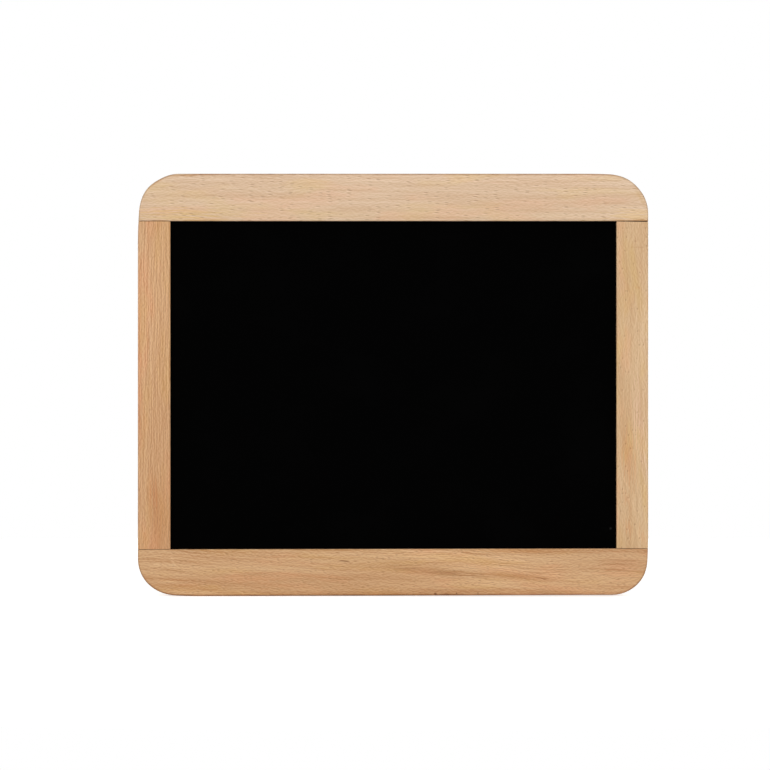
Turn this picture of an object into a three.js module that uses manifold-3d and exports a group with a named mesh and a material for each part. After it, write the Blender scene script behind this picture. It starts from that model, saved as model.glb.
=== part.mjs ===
// A small framed writing slate: four beech strips joined by slots and tenons round a slate panel.
//
// Millimetres. The board stands upright on its lower edge: X runs to the right across the face,
// Z runs up, and the face looks towards -Y. The origin is the middle of the lower edge.

import * as THREE from "three";
import { mergeVertices } from "three/addons/utils/BufferGeometryUtils.js";
import Module from "manifold-3d";

// Whole board
const boardWidth = 250;
const boardHeight = 207;
const boardThickness = 9;

// Strips of the frame, across their faces
const topRailWidth = 23.5;
const bottomRailWidth = 23.5;
const leftStileWidth = 16.3;
const rightStileWidth = 15.9;

// Rounded outline and edges
const topLeftRadius = 19.1;
const topRightRadius = 19.8;
const bottomLeftRadius = 19.3;
const bottomRightRadius = 17.8;
const outerEdgeRound = 1;
const innerEdgeRound = 0.4;

// Slate panel, loose in the grooves of the strips
const panelThickness = 3;
const panelRimBevel = 0.5;
const panelFaceClearance = 0.2;
const panelRimClearance = 0.5;
const grooveDepth = 5;

// Corner joints: a tenon on each end of a stile, glued into a slot sawn into the rail
const tenonLength = 12;
const tenonCheekClearance = 0.1;
const tenonEndClearance = 0.4;
const tenonSideClearance = 0.4;
const shoulderGap = 0.15;

// Brads, driven from the back through each tenon
const bradShankRadius = 0.6;
const bradHeadRadius = 1.2;
const bradHeadThickness = 0.5;
const bradPointLength = 1.2;
const bradBite = 1;
const bradHeadSink = 0.1;
const bradClearance = 0.1;

// Steps of the round shapes
const cornerSteps = 16;
const outerEdgeSteps = 4;
const innerEdgeSteps = 3;
const bradSides = 16;

// Spare length of a cutter beyond the wood it cuts
const overcut = 1;

// Places that follow from the sizes
const left = -boardWidth / 2;
const right = boardWidth / 2;
const back = boardThickness / 2;
const openingLeft = left + leftStileWidth;
const openingRight = right - rightStileWidth;
const openingBottom = bottomRailWidth;
const openingTop = boardHeight - topRailWidth;
const grooveWidth = panelThickness + 2 * panelFaceClearance;
const tenonThickness = grooveWidth - 2 * tenonCheekClearance;

const wasm = await Module();
wasm.setup();

// A closed three.js geometry as a solid that can be joined and cut.
function solid(geometry) {
  const bare = geometry.clone();
  bare.deleteAttribute("normal");
  bare.deleteAttribute("uv");
  const merged = mergeVertices(bare, 1e-4);
  const mesh = new wasm.Mesh({
    numProp: 3,
    vertProperties: merged.attributes.position.array,
    triVerts: new Uint32Array(merged.index.array),
  });
  return new wasm.Manifold(mesh);
}

// The solid back as a named mesh in its own finish.
function part(name, shape, finish) {
  const { vertProperties, triVerts } = shape.getMesh();
  const geometry = new THREE.BufferGeometry();
  geometry.setAttribute("position", new THREE.BufferAttribute(vertProperties, 3));
  geometry.setIndex(new THREE.BufferAttribute(triVerts, 1));
  const flat = geometry.toNonIndexed();
  flat.computeVertexNormals();
  const mesh = new THREE.Mesh(flat, new THREE.MeshStandardMaterial(finish));
  mesh.name = name;
  return mesh;
}

// A box between two corners.
function box(low, high) {
  const size = new THREE.Vector3().subVectors(high, low);
  const middle = new THREE.Vector3().addVectors(low, high).multiplyScalar(0.5);
  const geometry = new THREE.BoxGeometry(size.x, size.y, size.z);
  geometry.translate(middle.x, middle.y, middle.z);
  return solid(geometry);
}

// Turns an outline drawn in X and Z into a plate of the given thickness, centred on Y = 0, with
// its edges either rounded or bevelled.
function plate(outline, thickness, edge, edgeSteps) {
  const geometry = new THREE.ExtrudeGeometry(outline, {
    depth: thickness - 2 * edge,
    bevelSize: edge,
    bevelThickness: edge,
    bevelOffset: -edge,
    bevelSegments: edgeSteps,
    curveSegments: cornerSteps,
  });
  geometry.translate(0, 0, edge - thickness / 2);
  geometry.rotateX(Math.PI / 2);
  return solid(geometry);
}

// The board's outline, with its four corners sanded round after the frame was glued up.
function boardOutline() {
  const quarter = Math.PI / 2;
  const outline = new THREE.Shape();
  outline.absarc(right - bottomRightRadius, bottomRightRadius, bottomRightRadius, -quarter, 0);
  outline.absarc(right - topRightRadius, boardHeight - topRightRadius, topRightRadius, 0, quarter);
  outline.absarc(left + topLeftRadius, boardHeight - topLeftRadius, topLeftRadius, quarter, Math.PI);
  outline.absarc(left + bottomLeftRadius, bottomLeftRadius, bottomLeftRadius, Math.PI, 3 * quarter);
  return outline;
}

// The moulded section of a strip, from its inner edge at x = 0 to its outer edge: a groove for
// the panel down the middle of the inner edge, and the two corners beside it eased round. The
// outer edge is left proud, to be trimmed to the board's outline.
function stripSection(width) {
  const face = boardThickness / 2;
  const eased = face - innerEdgeRound;
  const section = new THREE.Shape();
  section.moveTo(grooveDepth, grooveWidth / 2);
  section.lineTo(grooveDepth, -grooveWidth / 2);
  section.lineTo(0, -grooveWidth / 2);
  section.absarc(innerEdgeRound, -eased, innerEdgeRound, Math.PI, 1.5 * Math.PI);
  section.lineTo(width + overcut, -face);
  section.lineTo(width + overcut, face);
  section.absarc(innerEdgeRound, eased, innerEdgeRound, 0.5 * Math.PI, Math.PI);
  section.lineTo(0, grooveWidth / 2);
  return section;
}

// A length of strip. It starts at a point on its inner edge and runs along one direction, with
// its outer edge towards the other.
function strip(width, start, along, outward, length) {
  const geometry = new THREE.ExtrudeGeometry(stripSection(width), {
    depth: length,
    bevelEnabled: false,
    curveSegments: innerEdgeSteps,
  });
  const across = new THREE.Vector3().crossVectors(along, outward);
  const placed = new THREE.Matrix4().makeBasis(outward, across, along).setPosition(start);
  return solid(geometry.applyMatrix4(placed));
}

// The two sides and the two ends of the opening, with the direction that leads out of it there.
const sides = {
  left: { side: -1, inner: openingLeft, stileWidth: leftStileWidth },
  right: { side: 1, inner: openingRight, stileWidth: rightStileWidth },
};
const ends = {
  top: { up: 1, edge: openingTop, railWidth: topRailWidth },
  bottom: { up: -1, edge: openingBottom, railWidth: bottomRailWidth },
};

// The four corner joints, one where each end meets each side.
const corners = [];
for (const [endName, end] of Object.entries(ends)) {
  for (const [sideName, side] of Object.entries(sides)) {
    corners.push({ name: `${endName}_${sideName}`, ...end, ...side });
  }
}

// A box from a corner of the opening, measured outwards through the stile and into the rail.
function cornerBox(corner, across, through, into) {
  const x = across.map((reach) => corner.inner + corner.side * reach);
  const z = into.map((reach) => corner.edge + corner.up * reach);
  return box(
    new THREE.Vector3(Math.min(...x), through[0], Math.min(...z)),
    new THREE.Vector3(Math.max(...x), through[1], Math.max(...z)),
  );
}

// The slot in the end of a rail, open at the outer side, which takes the tenon.
function slot(corner) {
  return cornerBox(
    corner,
    [grooveDepth - tenonSideClearance, corner.stileWidth + overcut],
    [-grooveWidth / 2, grooveWidth / 2],
    [-overcut, tenonLength + tenonEndClearance],
  );
}

// What is sawn off one face of a stile's end, from the shoulder to the tip, to leave the tenon.
function cheek(corner, face) {
  const through = [tenonThickness / 2, back + overcut];
  return cornerBox(
    corner,
    [-overcut, corner.stileWidth + overcut],
    face > 0 ? through : through.map((y) => -y).reverse(),
    [-shoulderGap, tenonLength + overcut],
  );
}

// A brad's profile, from its point up to its head, or its hole's with a clearance all round.
function bradProfile(clearance) {
  const shank = bradShankRadius + clearance;
  const head = bradHeadRadius + clearance;
  const headTop = back - bradHeadSink;
  const headUnder = headTop - bradHeadThickness;
  const tip = -tenonThickness / 2 - bradBite;
  const top = clearance > 0 ? back + overcut : headTop;
  return [
    new THREE.Vector2(0, tip - clearance),
    new THREE.Vector2(shank, tip + bradPointLength),
    new THREE.Vector2(shank, headUnder - clearance),
    new THREE.Vector2(head, headUnder - clearance),
    new THREE.Vector2(head, top),
    new THREE.Vector2(0, top),
  ];
}

// A brad, or its hole, through the middle of a tenon, with its head at the back.
function brad(corner, clearance) {
  const geometry = new THREE.LatheGeometry(bradProfile(clearance), bradSides);
  const middle = (grooveDepth + corner.stileWidth) / 2;
  const x = corner.inner + corner.side * middle;
  const z = corner.edge + (corner.up * tenonLength) / 2;
  geometry.translate(x, 0, z);
  return solid(geometry);
}

// Trims a glued-up member to the board's outline and drills it for its brads.
const outline = plate(boardOutline(), boardThickness, outerEdgeRound, outerEdgeSteps);

function finishMember(blank, itsCorners) {
  let member = blank.intersect(outline);
  for (const corner of itsCorners) {
    member = member.subtract(brad(corner, bradClearance));
  }
  return member;
}

// A rail runs the full width of the board, with a slot sawn into each end.
function rail({ up, edge, railWidth }) {
  const itsCorners = corners.filter((corner) => corner.up === up);
  const start = new THREE.Vector3(left - overcut, 0, edge);
  const along = new THREE.Vector3(1, 0, 0);
  const outward = new THREE.Vector3(0, 0, up);
  let blank = strip(railWidth, start, along, outward, boardWidth + 2 * overcut);
  for (const corner of itsCorners) {
    blank = blank.subtract(slot(corner));
  }
  return finishMember(blank, itsCorners);
}

// A stile stands between the rails, with its tenons reaching into them.
function stile({ side, inner, stileWidth }) {
  const itsCorners = corners.filter((corner) => corner.side === side);
  const start = new THREE.Vector3(inner, 0, openingBottom - tenonLength);
  const along = new THREE.Vector3(0, 0, 1);
  const outward = new THREE.Vector3(side, 0, 0);
  const length = openingTop - openingBottom + 2 * tenonLength;
  let blank = strip(stileWidth, start, along, outward, length);
  for (const corner of itsCorners) {
    blank = blank.subtract(cheek(corner, 1));
    blank = blank.subtract(cheek(corner, -1));
  }
  return finishMember(blank, itsCorners);
}

// The slate, sawn to reach into all four grooves, with bevelled rims.
function writingPanel() {
  const reach = grooveDepth - panelRimClearance;
  const outlineOfPanel = new THREE.Shape();
  outlineOfPanel.moveTo(openingLeft - reach, openingBottom - reach);
  outlineOfPanel.lineTo(openingRight + reach, openingBottom - reach);
  outlineOfPanel.lineTo(openingRight + reach, openingTop + reach);
  outlineOfPanel.lineTo(openingLeft - reach, openingTop + reach);
  return plate(outlineOfPanel, panelThickness, panelRimBevel, 1);
}

const beech = { roughness: 0.55, metalness: 0 };
const slate = { color: "#060606", roughness: 0.85, metalness: 0 };
const steel = { color: "#8e9093", roughness: 0.4, metalness: 1 };
const chalkboard = new THREE.Group();

chalkboard.add(
  part("top_rail", rail(ends.top), { ...beech, color: "#d9ba9a" }),
  part("bottom_rail", rail(ends.bottom), { ...beech, color: "#c79b72" }),
  part("left_stile", stile(sides.left), { ...beech, color: "#cc9e75" }),
  part("right_stile", stile(sides.right), { ...beech, color: "#d2ad86" }),
  part("writing_panel", writingPanel(), slate),
);

for (const corner of corners) {
  chalkboard.add(part(`${corner.name}_brad`, brad(corner, 0), steel));
}

export default chalkboard;
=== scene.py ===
import math

import bmesh
import bpy
from mathutils import Euler, Matrix, Vector, noise


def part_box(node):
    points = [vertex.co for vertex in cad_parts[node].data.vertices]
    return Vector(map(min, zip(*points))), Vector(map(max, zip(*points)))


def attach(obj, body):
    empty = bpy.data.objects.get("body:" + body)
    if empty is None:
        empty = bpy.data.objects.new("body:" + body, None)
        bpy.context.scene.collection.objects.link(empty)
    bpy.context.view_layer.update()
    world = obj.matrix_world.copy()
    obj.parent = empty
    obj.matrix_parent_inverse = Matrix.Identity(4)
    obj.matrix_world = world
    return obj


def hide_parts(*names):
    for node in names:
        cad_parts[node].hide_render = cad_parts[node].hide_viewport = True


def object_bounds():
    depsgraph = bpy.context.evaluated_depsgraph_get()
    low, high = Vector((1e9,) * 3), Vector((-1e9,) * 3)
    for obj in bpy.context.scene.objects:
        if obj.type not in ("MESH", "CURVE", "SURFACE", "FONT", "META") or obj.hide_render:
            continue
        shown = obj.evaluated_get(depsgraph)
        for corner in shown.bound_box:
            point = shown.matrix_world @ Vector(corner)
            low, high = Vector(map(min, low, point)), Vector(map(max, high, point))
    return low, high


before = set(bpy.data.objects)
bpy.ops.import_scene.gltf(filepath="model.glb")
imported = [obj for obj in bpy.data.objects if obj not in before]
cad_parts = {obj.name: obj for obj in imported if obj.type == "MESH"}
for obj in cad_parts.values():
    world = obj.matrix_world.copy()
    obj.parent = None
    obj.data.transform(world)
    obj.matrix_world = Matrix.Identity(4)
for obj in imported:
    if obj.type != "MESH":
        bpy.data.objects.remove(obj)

cad_low, cad_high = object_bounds()
mm = 0.001

# Bottom rail
# A beech strip across the whole foot of the frame, grooved for the slate along its upper edge and
# slotted at both ends for the stiles' tenons. Its outer corners were sanded round after glue-up.
board_low, board_high = Vector(cad_low), Vector(cad_high)
board_width = board_high.x - board_low.x
board_height = board_high.z - board_low.z
board_thickness = board_high.y - board_low.y
planed_bottom, planed_top, planed_left, planed_right = 0.55 * mm, 0.30 * mm, 0.38 * mm, 0.33 * mm
opening_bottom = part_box("bottom_rail")[1].z - planed_bottom
opening_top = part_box("top_rail")[0].z + planed_top
lower_edge_rise = 0.70 * mm
opening_rise = 0.48 * mm
touching = 1e-7


def let_out_of_square(bm):
    """The frame was glued up a touch out of square: its lower edge and the opening's rise to the right."""
    for vertex in bm.verts:
        share = (vertex.co.x - board_low.x) / board_width
        if vertex.co.z < opening_bottom:
            rise = lower_edge_rise + (opening_rise - lower_edge_rise) * vertex.co.z / opening_bottom
        else:
            rise = opening_rise * max(opening_top - vertex.co.z, 0.0) / (opening_top - opening_bottom)
        vertex.co.z += share * rise


def mesh_object(name, bm):
    """A finished bmesh as an object in the scene, at the origin."""
    bm.normal_update()
    bmesh.ops.recalc_face_normals(bm, faces=bm.faces)
    mesh = bpy.data.meshes.new(name)
    bm.to_mesh(mesh)
    bm.free()
    made = bpy.data.objects.new(name, mesh)
    bpy.context.scene.collection.objects.link(made)
    return made


def squared_block(low, high):
    """A squared block between two corners."""
    bm = bmesh.new()
    bmesh.ops.create_cube(bm, size=1)
    bmesh.ops.scale(bm, vec=high - low, verts=bm.verts)
    bmesh.ops.translate(bm, vec=(low + high) / 2, verts=bm.verts)
    return bm


def round_over(bm, edges, radius, steps):
    """Takes the sharpness off the given edges."""
    bmesh.ops.bevel(bm, geom=edges, offset=radius, offset_type="OFFSET", segments=steps,
                    profile=0.5, affect="EDGES", material=-1)


def edges_round_faces(bm):
    """The edges round the face and the back, without those that run through the thickness."""
    return [e for e in bm.edges if len({round(v.co.y, 6) for v in e.verts}) == 1]


corner_radii = {(-1, 1): 19.8 * mm, (1, 1): 19.6 * mm, (-1, -1): 18.5 * mm, (1, -1): 17.9 * mm}
corner_steps = 24
near_an_end = 0.49
outer_round = 1.0 * mm
outer_steps = 6
side_cuts = 48
hand_sanding = 0.04 * mm
hand_sanding_wave = 25 * mm
# Where the sander took more: x, z, the depth and how far it reaches, in mm.
sanded_flatter = ((-114.5, 204.5, 0.42, 6), (-124.6, 189.5, 0.52, 8), (108.7, 206.5, 0.28, 7),
                  (-108.7, 0.4, 0.36, 7), (-116.0, 2.3, 0.26, 7), (124.6, 16.3, 0.33, 6),
                  (119.9, 200.6, 0.22, 6))


def sanded_board():
    """The whole board's outline as sanded: round corners, eased arrises, edges never quite straight."""
    bm = squared_block(board_low, board_high)
    middle = board_height / 2
    for (side, up), radius in corner_radii.items():
        corner = [e for e in bm.edges
                  if all(v.co.x * side > board_width * near_an_end for v in e.verts)
                  and all((v.co.z - middle) * up > board_height * near_an_end for v in e.verts)]
        round_over(bm, corner, radius, corner_steps)
    straight = [e for e in bm.edges if e.calc_length() > board_height / 2]
    bmesh.ops.subdivide_edges(bm, edges=straight, cuts=side_cuts, use_grid_fill=True)
    for vertex in bm.verts:
        spot = Vector((vertex.co.x, 0, vertex.co.z))
        outward = Vector((vertex.normal.x, 0, vertex.normal.z)).normalized()
        depth = hand_sanding * (0.5 + noise.noise(spot / hand_sanding_wave) * 0.5)
        for x, z, most, reach in sanded_flatter:
            away = (spot - Vector((x, 0, z)) * mm).length / (reach * mm)
            depth += most * mm * math.exp(-away * away)
        vertex.co -= outward * depth
    round_over(bm, edges_round_faces(bm), outer_round, outer_steps)
    return mesh_object("sanded_board", bm)


inner_round = 0.4 * mm
inner_steps = 4
groove_depth = 5.0 * mm
groove_width = 3.4 * mm
spare = 1.0 * mm


def moulded_strip(name, width, placed, length):
    """A length of strip off the moulder, from its grooved inner edge out, laid along one direction."""
    half = board_thickness / 2
    section = [(groove_depth, groove_width / 2), (groove_depth, -groove_width / 2),
               (0, -groove_width / 2), (0, -half), (width + spare, -half),
               (width + spare, half), (0, half), (0, groove_width / 2)]
    bm = bmesh.new()
    end = bm.faces.new([bm.verts.new((out, across, 0)) for out, across in section])
    grown = bmesh.ops.extrude_face_region(bm, geom=[end])["geom"]
    far_end = [g for g in grown if isinstance(g, bmesh.types.BMVert)]
    bmesh.ops.translate(bm, vec=(0, 0, length), verts=far_end)
    inner_arrises = [e for e in bm.edges
                     if all(v.co.x == 0 and abs(abs(v.co.y) - half) < touching for v in e.verts)
                     and abs(e.verts[0].co.z - e.verts[1].co.z) > spare]
    round_over(bm, inner_arrises, inner_round, inner_steps)
    bmesh.ops.transform(bm, matrix=placed, verts=bm.verts)
    return mesh_object(name, bm)


def worked(piece, kept_inside, cutters):
    """Trims a piece to the board's outline and cuts its slots, shoulders and holes."""
    tools = [(kept_inside, "INTERSECT")] + [(cutter, "DIFFERENCE") for cutter in cutters]
    for tool, operation in tools:
        step = piece.modifiers.new(operation.lower(), "BOOLEAN")
        step.operation = operation
        step.object = tool
        step.solver = "EXACT"
    bpy.context.view_layer.update()
    cut = bpy.data.meshes.new_from_object(piece.evaluated_get(bpy.context.evaluated_depsgraph_get()))
    piece.modifiers.clear()
    piece.data = cut
    for cutter in cutters:
        bpy.data.objects.remove(cutter)
    bm = bmesh.new()
    bm.from_mesh(cut)
    bmesh.ops.remove_doubles(bm, verts=bm.verts, dist=touching)
    let_out_of_square(bm)
    bmesh.ops.recalc_face_normals(bm, faces=bm.faces)
    bm.to_mesh(cut)
    bm.free()
    return piece


tenon_thickness = 3.2 * mm
tenon_length = 12.0 * mm
tenon_end_gap = 0.4 * mm
tenon_side_gap = 0.4 * mm


def slot_for_tenon(corner_x, corner_z, side, up, stile_width):
    """The slot sawn into a rail's end, open at the side, that takes a stile's tenon."""
    inner, outer = groove_depth - tenon_side_gap, stile_width + spare
    across = sorted((corner_x + side * inner, corner_x + side * outer))
    into = sorted((corner_z - up * spare, corner_z + up * (tenon_length + tenon_end_gap)))
    low = Vector((across[0], -groove_width / 2, into[0]))
    high = Vector((across[1], groove_width / 2, into[1]))
    return mesh_object("slot", squared_block(low, high))


brad_shank = 0.6 * mm
brad_head = 1.2 * mm
brad_head_thickness = 0.5 * mm
brad_head_sink = 0.1 * mm
brad_clearance = 0.1 * mm
brad_point = 1.2 * mm
brad_bite = 1.0 * mm
brad_tip = -tenon_thickness / 2 - brad_bite
hole_steps = 32


def turned(profile, x, z, steps):
    """A turned shape whose profile of radius and height runs from its point to its top, along +Y."""
    bm = bmesh.new()
    line = [bm.verts.new((radius, height, 0)) for radius, height in profile]
    edges = [bm.edges.new(pair) for pair in zip(line, line[1:])]
    bmesh.ops.spin(bm, geom=line + edges, cent=(0, 0, 0), axis=(0, 1, 0), angle=math.tau,
                   steps=steps, use_merge=True)
    bmesh.ops.remove_doubles(bm, verts=bm.verts, dist=touching)
    bmesh.ops.translate(bm, vec=(x, 0, z), verts=bm.verts)
    return bm


def brad_hole(x, z):
    """The hole that a brad's point, shank and head leave in a frame member."""
    shank = brad_shank + brad_clearance
    head = brad_head + brad_clearance
    under = board_thickness / 2 - brad_head_sink - brad_head_thickness - brad_clearance
    profile = [(0, brad_tip - brad_clearance), (shank, brad_tip + brad_point), (shank, under),
               (head, under), (head, board_thickness), (0, board_thickness)]
    return mesh_object("hole", turned(profile, x, z, hole_steps))


chip_roughness = 0.35
chip_lumps = 1.7


def nick(x, y, z, size):
    """A small chip knocked out of an arris."""
    bm = bmesh.new()
    bmesh.ops.create_icosphere(bm, subdivisions=2, radius=1)
    for vertex in bm.verts:
        lumps = noise.noise(vertex.co * chip_lumps + Vector((x, y, z)) / mm)
        vertex.co *= 1 + chip_roughness * lumps
    bmesh.ops.scale(bm, vec=size, verts=bm.verts)
    bmesh.ops.translate(bm, vec=(x, y, z), verts=bm.verts)
    return mesh_object("nick", bm)


softest_crease = math.radians(28)
flats_over_curves = 100


def shaded(piece, grain=None):
    """Smooth over the eased edges and flat on the flats. Marks wood's end grain and its outer arrises."""
    piece.data.shade_smooth()
    piece.data.set_sharp_from_angle(angle=softest_crease)
    weighted = piece.modifiers.new("weighted", "WEIGHTED_NORMAL")
    weighted.keep_sharp = True
    weighted.weight = flats_over_curves
    bpy.context.view_layer.update()
    finished = bpy.data.meshes.new_from_object(piece.evaluated_get(bpy.context.evaluated_depsgraph_get()))
    piece.modifiers.clear()
    piece.data = finished
    if grain:
        facing = [n.vector for n in finished.corner_normals]
        end_grain = finished.attributes.new("end_grain", "FLOAT", "CORNER")
        end_grain.data.foreach_set("value", [abs(n.dot(grain)) for n in facing])
        # A mask for painted shade, with some brown wear, on the arrises along the head and the foot:
        # strongest halfway round an arris, and nothing on the flats.
        outward = [math.copysign(1, finished.vertices[corner.vertex_index].co.z - board_height / 2)
                   for corner in finished.loops]
        arris = finished.attributes.new("outer_arris", "FLOAT", "CORNER")
        arris.data.foreach_set("value", [2 * abs(n.y) * max(n.z * out, 0)
                                         for n, out in zip(facing, outward)])
    return piece


def add(tree, kind, values=(), **settings):
    """A node with its settings made, and each input given a value or linked."""
    made = tree.nodes.new("ShaderNode" + kind)
    for name, value in settings.items():
        setattr(made, name, value)
    for socket, value in dict(values).items():
        if isinstance(value, bpy.types.NodeSocket):
            tree.links.new(value, made.inputs[socket])
        else:
            made.inputs[socket].default_value = value
    return made


def maths(tree, operation, *values):
    """One step of arithmetic on numbers."""
    return add(tree, "Math", enumerate(values), operation=operation).outputs[0]


def vectors(tree, operation, *values):
    """One step of arithmetic on vectors."""
    made = add(tree, "VectorMath", enumerate(values), operation=operation)
    return made.outputs["Value" if operation == "LENGTH" else "Vector"]


def spread(tree, value, low, high, bottom=0.0, top=1.0):
    """Opens the part of a value between low and high out to the given ends, and softens them."""
    return add(tree, "MapRange", {0: value, 1: low, 2: high, 3: bottom, 4: top},
               interpolation_type="SMOOTHSTEP").outputs[0]


def plain(tree, colour):
    """One colour all over, for the rest to be laid on."""
    made = add(tree, "RGB").outputs[0]
    made.default_value = colour
    return made


def laid_over(tree, under, colour, mask, strength):
    """A colour laid over what is under it, as strongly as the mask says."""
    share = maths(tree, "MULTIPLY", mask, strength)
    return add(tree, "Mix", {0: share, 6: under, 7: colour}, data_type="RGBA").outputs[2]


def tinted(tree, under, tint, mask, strength):
    """What is under it multiplied by a tint, as strongly as the mask says, so its grain still shows."""
    share = maths(tree, "MULTIPLY", mask, strength)
    return add(tree, "Mix", {0: share, 6: under, 7: (*tint, 1.0)}, data_type="RGBA",
               blend_type="MULTIPLY").outputs[2]


def new_material(name):
    """A new material with its node tree and its shader."""
    material = bpy.data.materials.new(name)
    material.use_nodes = True
    return material, material.node_tree, material.node_tree.nodes["Principled BSDF"]


def place_in_mm(tree, turn=(0, 0, 0)):
    """Where a point lies on the object, in mm, turned if the grain is."""
    place = add(tree, "TexCoord").outputs["Object"]
    return add(tree, "Mapping", {"Vector": place, "Rotation": turn, "Scale": [1 / mm] * 3}).outputs[0]


def raise_relief(tree, shader, height, strength, depth):
    """Fine relief on the surface, as deep as given."""
    bump = add(tree, "Bump", {"Height": height, "Strength": strength, "Distance": depth})
    tree.links.new(bump.outputs[0], shader.inputs["Normal"])


def cells_of(tree, place, size, seed):
    """A place measured in cells of the size given, in mm, and moved on by the seed."""
    per_mm = [1 / s for s in size]
    return add(tree, "Mapping", {"Vector": place, "Location": seed, "Scale": per_mm}).outputs[0]


noise_middle = 0.5


def grown_noise(tree, place, size, seed, detail=2.0, roughness=0.5):
    """Soft noise whose lumps are as long along, through and across the grain as the size says, in mm."""
    return add(tree, "TexNoise", {"Vector": cells_of(tree, place, size, seed), "Scale": 1.0,
                                  "Detail": detail, "Roughness": roughness}).outputs[0]


def hairlines(tree, place, size, seed):
    """Noise less itself one lump aside: thin dark lines with pale ones beside them, no broad lumps."""
    here = grown_noise(tree, place, size, seed, detail=0.0)
    beside = grown_noise(tree, place, size, (seed[0], seed[1], seed[2] + 1), detail=0.0)
    return maths(tree, "ADD", maths(tree, "SUBTRACT", here, beside), noise_middle)


dash_half_width = 0.34
dash_core = 0.3 * dash_half_width
surely_marked = 0.6


def dashes(tree, place, size, seed, share):
    """Short spindle-shaped marks, one at most in each cell of the size given, for a share of the cells."""
    cells = add(tree, "TexVoronoi", {"Vector": cells_of(tree, place, size, seed),
                                     "Scale": 1.0, "Randomness": 1.0})
    mark = spread(tree, cells.outputs["Distance"], dash_half_width, dash_core)
    chance = add(tree, "SeparateColor", {0: cells.outputs["Color"]}).outputs[0]
    return maths(tree, "MULTIPLY", mark, spread(tree, chance, share, share * surely_marked))


# What all four strips share. Sizes run along, through and across the grain, in mm, and a tint is a
# share of the strip's own colour.
grain_waves = (46, 30, 24)
dark_patch, pale_patch = (0.80, 0.68, 0.56), (1.14, 1.25, 1.36)
rosy_patch, golden_patch = (1.09, 0.94, 0.91), (1.01, 1.00, 0.77)
stripe, stripe_size, stripe_share = (0.74, 0.64, 0.52), (34, 5, 1.9), 0.5
dark_streak, pale_streak = (0.80, 0.67, 0.54), (1.11, 1.18, 1.26)
late_wood, late_wood_strength = (0.80, 0.74, 0.66), 0.12
heart = (0, 46, 4)
taper = 0.012
ring_width = 3.1
dark_fibre_and_groove_shade, pale_fibre_and_groove_light = (0.62, 0.44, 0.30), (1.30, 1.52, 1.78)
grit_size = (1.6, 0.8, 0.5)
dark_fleck, pale_fleck_and_highlight = (0.52, 0.42, 0.32), (1.22, 1.32, 1.46)
pale_fleck_and_highlight_offset = (0.7, 0, 0.55)
mark_fades_inwards = 0.35
mark_ragged = 1.5
mark_edge, mark_core = 1.75, 0.9
# Painted shade, with some brown wear, for the arrises along the head and the foot.
arris_shade_and_wear_tint, arris_shade_and_wear_unevenness = (0.56, 0.44, 0.34), (7, 7, 7)
end_grain_shade, end_grain_strength = (0.70, 0.62, 0.52), 0.75
dull, satin = 0.62, 0.46
fleck_dullness = 0.08
fleck_sink = -0.6
finish_reflection = 0.35
grain_relief, grain_depth = 0.35, 0.06 * mm


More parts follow.
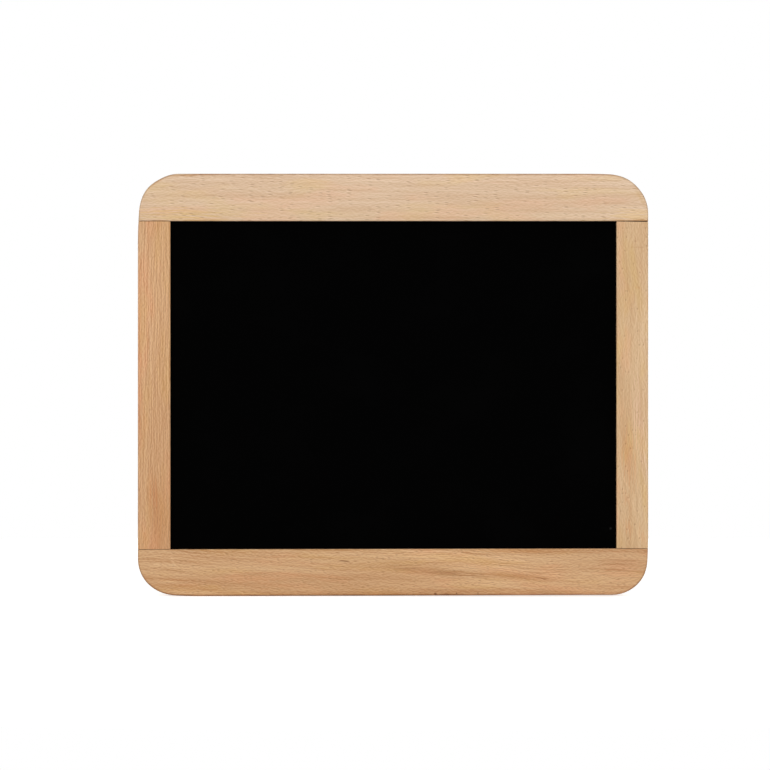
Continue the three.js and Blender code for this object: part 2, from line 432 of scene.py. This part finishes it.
def beech(name, body, turn, seed, slope, wave, patch, patchy, warmth, rosy, golden, stripes, streak, streaks,
          fibre, fibres_with_groove_shading, grit, fleck, fleck_share, flecks, pale_flecks_and_highlights, arris_shade_and_wear, marks):
    """Clear-finished beech as solid wood, so that its face, edges and end grain all belong together.

    Strengths run from 0 to 1. A mark is drawn on the face from one point to another, x and z in mm,
    with its half width, its tint and its strength.
    """
    material, tree, shader = new_material(name)

    def own(tint):
        """The strip's own colour, tinted."""
        return (*(c * t for c, t in zip(body, tint)), 1.0)

    def further(step):
        """The seed moved on, so that no two layers lie alike."""
        return [s + step for s in seed]

    def varied(under, value, dark, pale, reach, strength):
        """Darker to one side of a noise's middle and paler to the other."""
        darker = spread(tree, value, noise_middle, noise_middle + reach)
        paler = spread(tree, value, noise_middle, noise_middle - reach)
        under = laid_over(tree, under, own(dark), darker, strength)
        return laid_over(tree, under, own(pale), paler, strength)

    straight = place_in_mm(tree, turn)
    leaning = (0, math.radians(slope), 0)
    sloped = add(tree, "Mapping", {"Vector": straight, "Rotation": leaning}).outputs[0]
    waves = grown_noise(tree, sloped, grain_waves, seed, detail=0.0)
    drift = add(tree, "MapRange", {0: waves, 1: 0.2, 2: 0.8, 3: -wave, 4: wave}).outputs[0]
    grain = vectors(tree, "ADD", sloped, add(tree, "CombineXYZ", {2: drift}).outputs[0])

    patches = grown_noise(tree, grain, patch, further(7), detail=1.0)
    colour = varied(plain(tree, (*body, 1.0)), patches, dark_patch, pale_patch, -0.2, patchy)
    rosy_places = spread(tree, grown_noise(tree, grain, warmth, further(23)), noise_middle, 0.66)
    colour = laid_over(tree, colour, own(rosy_patch), rosy_places, rosy)
    golden_places = spread(tree, grown_noise(tree, grain, warmth, further(31)), noise_middle, 0.68)
    colour = laid_over(tree, colour, own(golden_patch), golden_places, golden)

    long_dark = dashes(tree, grain, stripe_size, further(37), stripe_share)
    colour = laid_over(tree, colour, own(stripe), long_dark, stripes)
    bands = grown_noise(tree, grain, streak, further(41), detail=1.0)
    colour = varied(colour, bands, dark_streak, pale_streak, 0.22, streaks)

    from_heart = vectors(tree, "SUBTRACT", grain, heart)
    radius = vectors(tree, "LENGTH", vectors(tree, "MULTIPLY", from_heart, (taper, 1, 1)))
    season = maths(tree, "FRACT", maths(tree, "DIVIDE", radius, ring_width))
    late = maths(tree, "MULTIPLY", spread(tree, season, 0.35, 0.93), spread(tree, season, 1.0, 0.94))
    colour = laid_over(tree, colour, own(late_wood), late, late_wood_strength)

    # Grain lines, and finer ones after them, in the fibres' own tone; each dark line has a pale one beside
    # it, painted as the shaded and lit sides of a groove.
    lines = hairlines(tree, grain, fibre, further(59))
    colour = varied(colour, lines, dark_fibre_and_groove_shade, pale_fibre_and_groove_light, 0.22, fibres_with_groove_shading)
    fine = hairlines(tree, grain, grit_size, further(67))
    colour = varied(colour, fine, dark_fibre_and_groove_shade, pale_fibre_and_groove_light, 0.22, grit)

    # Dark ray flecks, each with a pale dash beside it: partly paler wood and partly a painted highlight on
    # the lit lip of the sunk fleck.
    dark = dashes(tree, grain, fleck, further(71), fleck_share)
    beside = vectors(tree, "ADD", grain, pale_fleck_and_highlight_offset)
    pale = dashes(tree, beside, fleck, further(71), fleck_share)
    colour = laid_over(tree, colour, own(pale_fleck_and_highlight), pale, pale_flecks_and_highlights)
    colour = laid_over(tree, colour, own(dark_fleck), dark, flecks)

    upright = Euler(turn).to_matrix()
    face_y = -board_thickness / 2 / mm
    for x0, z0, x1, z1, half_width, tint, strength in marks:
        start, end = (upright @ Vector((x, face_y, z)) for x, z in ((x0, z0), (x1, z1)))
        reach = vectors(tree, "SUBTRACT", straight, (start + end) / 2)
        lean = math.atan2(end.z - start.z, end.x - start.x)
        along = add(tree, "Mapping", {"Vector": reach, "Rotation": (0, lean, 0)}).outputs[0]
        size = (2 / (end - start).length, mark_fades_inwards, 1 / half_width)
        away = vectors(tree, "LENGTH", vectors(tree, "MULTIPLY", along, size))
        ragged = maths(tree, "MULTIPLY_ADD", lines, mark_ragged, away)
        colour = tinted(tree, colour, tint, spread(tree, ragged, mark_edge, mark_core), strength)

    # Painted shade, with some brown wear, where the arrises along the head and the foot turn up or down,
    # away from the lamps.
    arris = add(tree, "Attribute", attribute_name="outer_arris").outputs["Fac"]
    uneven = grown_noise(tree, grain, arris_shade_and_wear_unevenness, further(83), detail=3.0, roughness=0.6)
    arris_shade_and_wear_mask = maths(tree, "MULTIPLY", arris, spread(tree, uneven, 0.3, 0.65, 0.5, 1.0))
    colour = tinted(tree, colour, arris_shade_and_wear_tint, arris_shade_and_wear_mask, arris_shade_and_wear)
    ends = spread(tree, add(tree, "Attribute", attribute_name="end_grain").outputs["Fac"], 0.35, 1.0)
    colour = tinted(tree, colour, end_grain_shade, ends, end_grain_strength)
    tree.links.new(colour, shader.inputs["Base Color"])

    sheen = spread(tree, lines, 0.2, 0.8, dull, satin)
    roughness = maths(tree, "MULTIPLY_ADD", dark, fleck_dullness, sheen)
    tree.links.new(roughness, shader.inputs["Roughness"])
    shader.inputs["Specular IOR Level"].default_value = finish_reflection
    relief = maths(tree, "MULTIPLY_ADD", dark, fleck_sink, lines)
    raise_relief(tree, shader, relief, grain_relief, grain_depth)
    return material


def frame_member(name, material, grain, piece):
    """Gives a finished member its wood and its body, in place of its plain solid."""
    shaded(piece, grain)
    piece.data.materials.clear()
    piece.data.materials.append(material)
    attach(piece, "root")
    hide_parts(name)


def middle_of(name):
    """The middle of a plain solid."""
    low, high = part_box(name)
    return (low + high) / 2


along_x = Vector((1, 0, 0))
opening_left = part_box("left_stile")[1].x - planed_left
opening_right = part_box("right_stile")[0].x + planed_right
left_width = opening_left - board_low.x
right_width = board_high.x - opening_right
left_brad_x = middle_of("top_left_brad").x
right_brad_x = middle_of("top_right_brad").x
lower_brad_z = middle_of("bottom_left_brad").z

outline = sanded_board()
rail_length = board_width + 2 * spare
outward_down = Matrix(((0, 0, 1, 0), (0, 1, 0, 0), (-1, 0, 0, 0), (0, 0, 0, 1)))
bottom_rail = moulded_strip("bottom_rail_wood", opening_bottom - board_low.z,
                            Matrix.Translation((board_low.x - spare, 0, opening_bottom)) @ outward_down,
                            rail_length)
# Chips along the lower front arris: where each lies from the middle and half its length, in mm.
chips = ((20.9, 0.45), (25.8, 0.6), (31.1, 0.5), (41.5, 0.3))
chip_y, chip_z, chip_depth, chip_rise = -4.25 * mm, 0.9 * mm, 0.35 * mm, 0.45 * mm
lower_nicks = [nick(x * mm, chip_y, chip_z, (half_length * mm, chip_depth, chip_rise))
               for x, half_length in chips]
bottom_rail = worked(bottom_rail, outline, [
    slot_for_tenon(opening_left, opening_bottom, -1, -1, left_width),
    slot_for_tenon(opening_right, opening_bottom, 1, -1, right_width),
    brad_hole(left_brad_x, lower_brad_z), brad_hole(right_brad_x, lower_brad_z), *lower_nicks])
wood = beech(
    "warm_beech_of_bottom_rail", (0.552, 0.325, 0.160), (0, 0, 0), (3, 11, 5), slope=-2.5, wave=1.6,
    patch=(70, 16, 6.5), patchy=0.45, warmth=(36, 12, 7), rosy=0.65, golden=0.7, stripes=0.85,
    streak=(70, 2.6, 3.4), streaks=0.72, fibre=(14, 0.8, 0.50), fibres_with_groove_shading=0.215, grit=0.24,
    fleck=(3.2, 1.8, 0.7), fleck_share=0.5, flecks=0.65, pale_flecks_and_highlights=0.5, arris_shade_and_wear=1.0, marks=[
        (-27.2, 17.9, -20.6, 16.8, 0.45, (0.42, 0.31, 0.22), 1.0),
        (-29.6, 21.7, -25.4, 21.2, 0.32, (0.62, 0.48, 0.38), 0.9),
        (-8.0, 21.5, 88.0, 12.5, 6.5, (1.13, 1.16, 1.20), 1.0),
        (66.0, 20.5, 150.0, 17.0, 7.0, (0.92, 0.90, 0.88), 0.9),
        (84.0, 14.0, 150.0, 12.0, 9.0, (0.95, 0.93, 0.91), 0.9),
        (-118.0, 7.0, 52.0, 3.5, 7.5, (0.90, 0.86, 0.81), 0.8),
        (36.0, 6.0, 74.0, 4.0, 3.0, (1.06, 1.08, 1.10), 0.8),
        (-26.0, 16.6, 54.0, 10.0, 3.6, (0.86, 0.79, 0.70), 0.9),
        (12.0, 12.9, 43.0, 10.2, 1.8, (0.72, 0.62, 0.50), 0.75),
        (38.0, 12.0, 81.0, 7.8, 2.0, (0.78, 0.68, 0.56), 0.9),
        (69.6, 9.4, 78.4, 7.7, 0.5, (0.6, 0.48, 0.36), 0.8),
        (-119.0, 14.3, -91.6, 10.4, 0.75, (0.74, 0.64, 0.53), 0.85),
        (99.0, 17.9, 120.5, 17.5, 0.45, (0.7, 0.58, 0.46), 0.6),
        (95.5, 13.8, 123.0, 11.9, 0.6, (0.72, 0.60, 0.48), 0.85),
        (-108.7, 20.6, -106.8, 13.8, 1.0, (1.14, 1.22, 1.32), 0.9),
        (-118.0, 8.4, -104.3, 6.9, 0.7, (1.15, 1.22, 1.26), 0.9),
        (97.5, 12.3, 126.9, 14.8, 7.0, (1.06, 0.93, 0.92), 0.6),
        (37.7, 22.8, 89.2, 21.6, 1.3, (0.92, 0.79, 0.6), 0.7),
        (-122.0, 0.9, 116.0, 1.9, 1.8, (0.84, 0.74, 0.65), 0.85),
        # Dark spots at the chips along the lower arris: painted shade in their hollows, with some dirt.
        (20.0, 1.4, 21.6, 1.5, 0.60, (0.40, 0.26, 0.17), 1.0),
        (23.6, 1.5, 28.4, 1.4, 0.45, (0.55, 0.42, 0.30), 0.8),
        (30.3, 1.6, 31.8, 1.6, 0.65, (0.40, 0.26, 0.17), 1.0),
        (41.2, 1.4, 42.1, 1.6, 0.60, (0.56, 0.42, 0.30), 0.9),
        (51.8, 1.5, 53.0, 1.5, 0.50, (0.60, 0.46, 0.34), 0.8),
    ])
frame_member("bottom_rail", wood, along_x, bottom_rail)

# Left stile
# The upright strip on the left, of the same warm beech, with a tenon sawn on each end that is
# glued into the rails' slots.
along_z = Vector((0, 0, 1))
upper_brad_z = middle_of("top_left_brad").z
shoulder_gap = 0.18 * mm


def cheek(corner_x, corner_z, side, up, face, stile_width, opens):
    """The waste sawn off one face of a stile's end. A leaning shoulder opens the joint outwards."""
    bm = bmesh.new()
    bmesh.ops.create_cube(bm, size=1)
    across = (corner_x - side * spare, corner_x + side * (stile_width + spare))
    through = (face * tenon_thickness / 2, face * (board_thickness / 2 + spare))
    for vertex in bm.verts:
        far, deep, tip = vertex.co.x > 0, vertex.co.y > 0, vertex.co.z > 0
        gap = shoulder_gap + (opens if far else 0)
        into = tenon_length + spare if tip else -gap
        vertex.co = (across[far], through[deep], corner_z + up * into)
    return mesh_object("cheek", bm)


def stile_cutters(corner_x, side, stile_width, brad_x, opens=0.0):
    """Everything that is sawn and drilled out of a stile: four cheeks and two brad holes."""
    cheeks = [cheek(corner_x, corner_z, side, up, face, stile_width, opens if up > 0 else 0.0)
              for corner_z, up in ((opening_bottom, -1), (opening_top, 1)) for face in (-1, 1)]
    return cheeks + [brad_hole(brad_x, lower_brad_z), brad_hole(brad_x, upper_brad_z)]


stile_foot = opening_bottom - tenon_length
stile_length = opening_top - opening_bottom + 2 * tenon_length
outward_left = Matrix(((-1, 0, 0, 0), (0, 1, 0, 0), (0, 0, 1, 0), (0, 0, 0, 1)))
left_stile = moulded_strip("left_stile_wood", left_width,
                           Matrix.Translation((opening_left, 0, stile_foot)) @ outward_left, stile_length)
left_stile = worked(left_stile, outline, stile_cutters(opening_left, -1, left_width, left_brad_x))
quarter_turn = (0, math.radians(90), 0)
wood = beech(
    "warm_beech_of_left_stile", (0.545, 0.308, 0.150), quarter_turn, (17, 2, 29), slope=-0.4, wave=0.7,
    patch=(110, 16, 12), patchy=0.35, warmth=(44, 12, 8), rosy=1.0, golden=0.7, stripes=0.0,
    streak=(60, 2.6, 1.6), streaks=0.0, fibre=(12, 0.8, 0.50), fibres_with_groove_shading=0.33, grit=0.21,
    fleck=(3.0, 1.8, 0.7), fleck_share=0.4, flecks=0.4, pale_flecks_and_highlights=0.5, arris_shade_and_wear=0.5, marks=[
        (-124.1, 182.3, -124.0, 24.6, 1.3, (1.04, 0.97, 0.98), 0.7),
        (-122.8, 200.0, -121.5, 92.0, 5.5, (0.99, 1.01, 1.06), 0.9),
        (-113.0, 62.0, -112.0, 14.0, 5.0, (1.00, 0.95, 0.89), 0.8),
        (-117.0, 57.0, -115.6, 42.0, 2.2, (1.00, 0.88, 0.82), 0.9),
        (-115.0, 71.0, -114.2, 54.0, 0.6, (1.20, 1.27, 1.34), 0.9),
        (-124.1, 94.1, -123.8, 77.5, 0.7, (0.8, 0.66, 0.55), 0.7),
        (-124.2, 76.5, -124.0, 73.1, 0.6, (0.76, 0.62, 0.5), 0.6),
        (-124.0, 202.0, -118.0, 92.0, 11.0, (1.06, 1.07, 1.07), 0.9),
        (-114.0, 68.0, -111.5, 0.0, 8.5, (0.90, 0.82, 0.74), 0.8),
        (-118.0, 62.8, -114.1, 17.7, 3.4, (0.90, 0.80, 0.70), 0.7),
        (-119.0, 176.4, -111.7, 186.2, 2.4, (0.93, 0.8, 0.68), 0.5),
    ])
frame_member("left_stile", wood, along_z, left_stile)

# Right stile
# The upright strip on the right, from a paler and calmer board. Its upper shoulder was not sawn
# quite square, so that the joint opens a little towards the outside.
upper_shoulder_opens = 0.35 * mm
right_stile = moulded_strip("right_stile_wood", right_width,
                            Matrix.Translation((opening_right, 0, stile_foot)), stile_length)
edge_nick = nick(125.0 * mm, -3.9 * mm, 151.5 * mm, (0.35 * mm, 0.5 * mm, 0.5 * mm))
right_stile = worked(right_stile, outline, stile_cutters(
    opening_right, 1, right_width, right_brad_x, upper_shoulder_opens) + [edge_nick])
wood = beech(
    "pale_beech_of_right_stile", (0.582, 0.380, 0.208), quarter_turn, (31, 5, 13), slope=1.0, wave=1.4,
    patch=(64, 16, 12), patchy=0.35, warmth=(32, 12, 9), rosy=0.9, golden=0.8, stripes=0.3,
    streak=(60, 2.6, 2.2), streaks=0.4, fibre=(8, 0.8, 0.50), fibres_with_groove_shading=0.08, grit=0.165,
    fleck=(2.2, 1.8, 0.8), fleck_share=0.16, flecks=0.8, pale_flecks_and_highlights=0.5, arris_shade_and_wear=0.5, marks=[
        (115.1, 171.0, 124.9, 170.8, 0.4, (0.84, 0.74, 0.62), 0.6),
        (118.5, 177.4, 118.8, 171.0, 0.35, (0.86, 0.76, 0.66), 0.5),
        (115.5, 178.0, 116.0, 138.0, 6.0, (0.94, 0.92, 0.87), 0.8),
        (123.5, 170.0, 123.0, 50.0, 6.5, (1.07, 1.10, 1.16), 0.9),
        (118.4, 106.0, 123.5, 58.0, 3.2, (1.08, 1.07, 1.20), 0.9),
        (111.5, 98.0, 117.0, 52.0, 5.5, (0.99, 0.93, 0.87), 0.9),
        (113.0, 84.0, 119.5, 46.0, 3.5, (0.94, 0.91, 0.87), 0.8),
        (116.0, 42.0, 117.5, 4.0, 10.0, (0.93, 0.89, 0.82), 0.9),
        (110.6, 61.5, 117.4, 50.0, 1.1, (1.09, 1.10, 1.12), 0.8),
        (116.7, 53.0, 119.4, 34.0, 0.9, (1.10, 1.12, 1.15), 0.9),
        (118.8, 38.0, 121.2, 23.5, 0.8, (1.10, 1.12, 1.15), 0.8),
        (114.4, 80.0, 116.0, 54.0, 4.2, (1.04, 0.94, 0.90), 0.9),
        (113.0, 53.0, 115.8, 43.0, 1.8, (1.04, 0.93, 0.88), 0.7),
        (113.8, 39.0, 116.2, 28.0, 2.2, (1.05, 0.93, 0.87), 0.8),
        (120.5, 35.0, 123.8, 23.0, 1.8, (1.04, 0.94, 0.88), 0.8),
        (120.0, 70.6, 122.5, 47.1, 1.8, (0.97, 0.97, 0.82), 0.6),
        (118.1, 151.9, 121.5, 150.4, 0.8, (0.96, 0.8, 0.62), 0.5),
        (110.2, 164.2, 111.7, 163.7, 0.6, (0.76, 0.66, 0.52), 0.7),
    ])
frame_member("right_stile", wood, along_z, right_stile)

# Writing panel
# A ground slate, blackened, with its rims bevelled so that it slides into the grooves of all four
# strips, where it sits loose.
panel_low, panel_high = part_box("writing_panel")
panel_rim_bevel = 0.5 * mm
panel_rim_steps = 2
bm = squared_block(panel_low, panel_high)
round_over(bm, edges_round_faces(bm), panel_rim_bevel, panel_rim_steps)
let_out_of_square(bm)
writing_panel = mesh_object("writing_panel_slate", bm)

black, cloudy_black, gritty_black = ((grey, grey, grey, 1) for grey in (0.0002, 0.0007, 0.0009))
chalk_speck, speck_place = (0.02, 0.02, 0.02, 1), (106.7, -1.5, 33.2)
slate, tree, shader = new_material("blackened_slate")
in_mm = place_in_mm(tree)
cloud = grown_noise(tree, in_mm, (40, 40, 28), (5, 3, 9), detail=4.0)
grit = grown_noise(tree, in_mm, (0.5, 0.5, 0.5), (2, 8, 4), detail=3.0, roughness=0.7)
from_speck = vectors(tree, "LENGTH", vectors(tree, "SUBTRACT", in_mm, speck_place))
colour = laid_over(tree, plain(tree, black), cloudy_black, spread(tree, cloud, 0.45, 0.75), 0.6)
colour = laid_over(tree, colour, gritty_black, spread(tree, grit, 0.6, 0.8), 0.5)
colour = laid_over(tree, colour, chalk_speck, spread(tree, from_speck, 0.8, 0.2), 0.6)
tree.links.new(colour, shader.inputs["Base Color"])
tree.links.new(spread(tree, grit, 0.25, 0.75, 0.78, 0.92), shader.inputs["Roughness"])
shader.inputs["Specular IOR Level"].default_value = 0.008
shader.inputs["Sheen Weight"].default_value = 0.02
shader.inputs["Sheen Roughness"].default_value = 0.5
fine_relief, fine_depth = 0.3, 0.03 * mm
raise_relief(tree, shader, grit, fine_relief, fine_depth)
shaded(writing_panel)
writing_panel.data.materials.append(slate)
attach(writing_panel, "root")
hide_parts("writing_panel")

# Top rail
# The palest strip, across the head of the frame. It went on last, over the panel's upper edge and
# both upper tenons.
outward_up = Matrix(((0, 0, 1, 0), (0, 1, 0, 0), (1, 0, 0, 0), (0, 0, 0, 1)))
top_rail = moulded_strip("top_rail_wood", board_high.z - opening_top,
                         Matrix.Translation((board_low.x - spare, 0, opening_top)) @ outward_up,
                         rail_length)
top_rail = worked(top_rail, outline, [
    slot_for_tenon(opening_left, opening_top, -1, 1, left_width),
    slot_for_tenon(opening_right, opening_top, 1, 1, right_width),
    brad_hole(left_brad_x, upper_brad_z), brad_hole(right_brad_x, upper_brad_z)])
bpy.data.objects.remove(outline)
wood = beech(
    "pale_beech_of_top_rail", (0.637, 0.451, 0.300), (0, 0, 0), (41, 19, 7), slope=-0.5, wave=0.5,
    patch=(70, 16, 10), patchy=0.2, warmth=(36, 12, 8), rosy=0.5, golden=0.6, stripes=0.3,
    streak=(60, 2.6, 2.4), streaks=0.32, fibre=(9, 0.8, 0.48), fibres_with_groove_shading=0.07, grit=0.13,
    fleck=(4.8, 1.8, 0.58), fleck_share=0.5, flecks=0.85, pale_flecks_and_highlights=0.6, arris_shade_and_wear=0.85, marks=[
        (-121.0, 188.2, -61.2, 187.2, 2.4, (0.98, 0.95, 0.78), 0.8),
        (-120.5, 199.5, -111.0, 205.8, 0.6, (0.84, 0.68, 0.50), 0.7),
        (-114.0, 205.6, -84.0, 206.7, 0.6, (0.80, 0.62, 0.46), 0.8),
        (-114.1, 184.7, -72.0, 184.5, 0.7, (0.97, 0.83, 0.66), 0.7),
        (117.1, 202.9, 125.4, 187.2, 1.0, (0.9, 0.84, 0.68), 0.6),
        (81.8, 204.8, 116.1, 203.8, 1.2, (0.97, 0.97, 0.84), 0.6),
        (-150.0, 204.6, 150.0, 204.6, 2.6, (1.05, 1.06, 1.08), 0.8),
        (36.0, 204.0, 132.0, 202.0, 5.0, (1.05, 1.06, 1.08), 0.9),
        (-170.0, 185.0, 170.0, 185.0, 6.5, (0.93, 0.91, 0.85), 0.9),
        (-134.0, 186.5, -84.0, 186.0, 4.5, (1.00, 0.97, 0.82), 0.9),
        (104.0, 186.0, 134.0, 186.5, 4.5, (1.04, 1.00, 0.82), 0.9),
        (106.0, 183.9, 130.0, 183.9, 0.7, (0.70, 0.52, 0.34), 0.9),
        (-119.0, 183.9, -107.0, 183.9, 0.6, (0.78, 0.56, 0.44), 0.8),
    ])
frame_member("top_rail", wood, along_x, top_rail)

# Brads
# Four steel pins, a little dulled, one through each corner joint from the back. Their flat heads
# are set just below the wood and their points stop short of the face.
clean_steel, dull_steel = (0.40, 0.405, 0.415, 1), (0.24, 0.235, 0.23, 1)
steel, tree, shader = new_material("bright_steel")
shader.inputs["Metallic"].default_value = 1.0
scuffs = grown_noise(tree, place_in_mm(tree), (0.4, 0.4, 0.25), (1, 6, 2), detail=4.0, roughness=0.65)
colour = laid_over(tree, plain(tree, clean_steel), dull_steel, spread(tree, scuffs, 0.5, 0.75), 0.7)
tree.links.new(colour, shader.inputs["Base Color"])
tree.links.new(spread(tree, scuffs, 0.3, 0.7, 0.48, 0.66), shader.inputs["Roughness"])
raise_relief(tree, shader, scuffs, fine_relief, fine_depth)

pin_steps = 40
head_top = board_thickness / 2 - brad_head_sink
head_under = head_top - brad_head_thickness
# From the point up: the shank, the head's flat underside, its eased rim and its low dome.
brad_profile = [(0, brad_tip), (brad_shank, brad_tip + brad_point), (brad_shank, head_under),
                (brad_head * 0.96, head_under), (brad_head, head_under + 0.08 * mm),
                (brad_head, head_top - 0.2 * mm), (brad_head * 0.95, head_top - 0.12 * mm),
                (brad_head * 0.7, head_top - 0.03 * mm), (0, head_top)]
for name in ("top_left_brad", "top_right_brad", "bottom_left_brad", "bottom_right_brad"):
    x = left_brad_x if "left" in name else right_brad_x
    z = upper_brad_z if "top" in name else lower_brad_z
    bm = turned(brad_profile, x, z, pin_steps)
    let_out_of_square(bm)
    brad = mesh_object(name + "_pin", bm)
    shaded(brad)
    brad.data.materials.append(steel)
    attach(brad, "root")
    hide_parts(name)

# Floor
# A plain white sheet of matt paper that the board stands on. It is wide enough to fill every view,
# and shows as white as the room behind it while it still takes a soft shadow.
sheet_radius = 0.7
sheet_white = (0.9, 0.9, 0.9, 1)
sheet_shows = 0.54


def seen_by_lens(tree):
    """1 where a ray comes from the lens, straight or off a surface or through glass, and 0 for light."""
    ray = add(tree, "LightPath").outputs
    straight_or_mirrored = maths(tree, "MAXIMUM", ray["Is Camera Ray"], ray["Is Glossy Ray"])
    return maths(tree, "MAXIMUM", straight_or_mirrored, ray["Is Transmission Ray"])


bm = bmesh.new()
bmesh.ops.create_circle(bm, cap_ends=True, segments=64, radius=sheet_radius)
floor = mesh_object("floor", bm)
white, tree, shader = new_material("white_sheet")
shader.inputs["Base Color"].default_value = sheet_white
shader.inputs["Roughness"].default_value = 1.0
shader.inputs["Specular IOR Level"].default_value = 0.0
shader.inputs["Emission Color"].default_value = (1, 1, 1, 1)
sheet_glow = maths(tree, "MULTIPLY", seen_by_lens(tree), sheet_shows)
tree.links.new(sheet_glow, shader.inputs["Emission Strength"])
floor.data.materials.append(white)

# Light
# An even white room, dimmer for light than it shows, and four large soft lamps: two in front of the
# board and two weaker ones behind it, all aimed at its middle.
world = bpy.data.worlds.new("white_room")
bpy.context.scene.world = world
world.use_nodes = True
tree = world.node_tree
background = tree.nodes["Background"]
background.inputs["Color"].default_value = (1, 1, 1, 1)
room_light, room_shows = 0.38, 1.0
tree.links.new(spread(tree, seen_by_lens(tree), 0.0, 1.0, room_light, room_shows),
               background.inputs["Strength"])

lamp_width, lamp_height = 0.9, 0.7
aim = Vector((0, 0, 0.1))
front_power, back_power = 11.2, 8.5
for name, x, y, z, power in (("front_left", -0.85, -1.35, 0.75, front_power),
                             ("front_right", 0.85, -1.35, 0.75, front_power),
                             ("back_left", -0.95, 1.35, 0.25, back_power),
                             ("back_right", 0.95, 1.35, 0.25, back_power)):
    lamp = bpy.data.lights.new(name, "AREA")
    lamp.shape = "RECTANGLE"
    lamp.size, lamp.size_y = lamp_width, lamp_height
    lamp.energy = power
    lit = bpy.data.objects.new(name, lamp)
    lit.location = (x, y, z)
    lit.rotation_euler = (aim - lit.location).to_track_quat("-Z", "Y").to_euler()
    lit.visible_camera = False
    bpy.context.scene.collection.objects.link(lit)

# Camera
# Square on to the face, 1.8 m from where the board's outline is widest, just behind its front
# arris. It stands a little left of the middle, so the board lies a little right, as photographed.
sensor = 36.0
distance = 1.8
seen_width = 0.3771
outline_y = -3.5 * mm
camera_x, camera_z = -0.00393, 0.1035
lens = bpy.data.cameras.new("camera")
lens.sensor_width = sensor
lens.lens = sensor * distance / seen_width
camera = bpy.data.objects.new("camera", lens)
camera.location = (camera_x, outline_y - distance, camera_z)
camera.rotation_euler = (math.radians(90), 0, 0)
bpy.context.scene.collection.objects.link(camera)
bpy.context.scene.camera = camera
bpy.context.scene.view_settings.view_transform = "Standard"
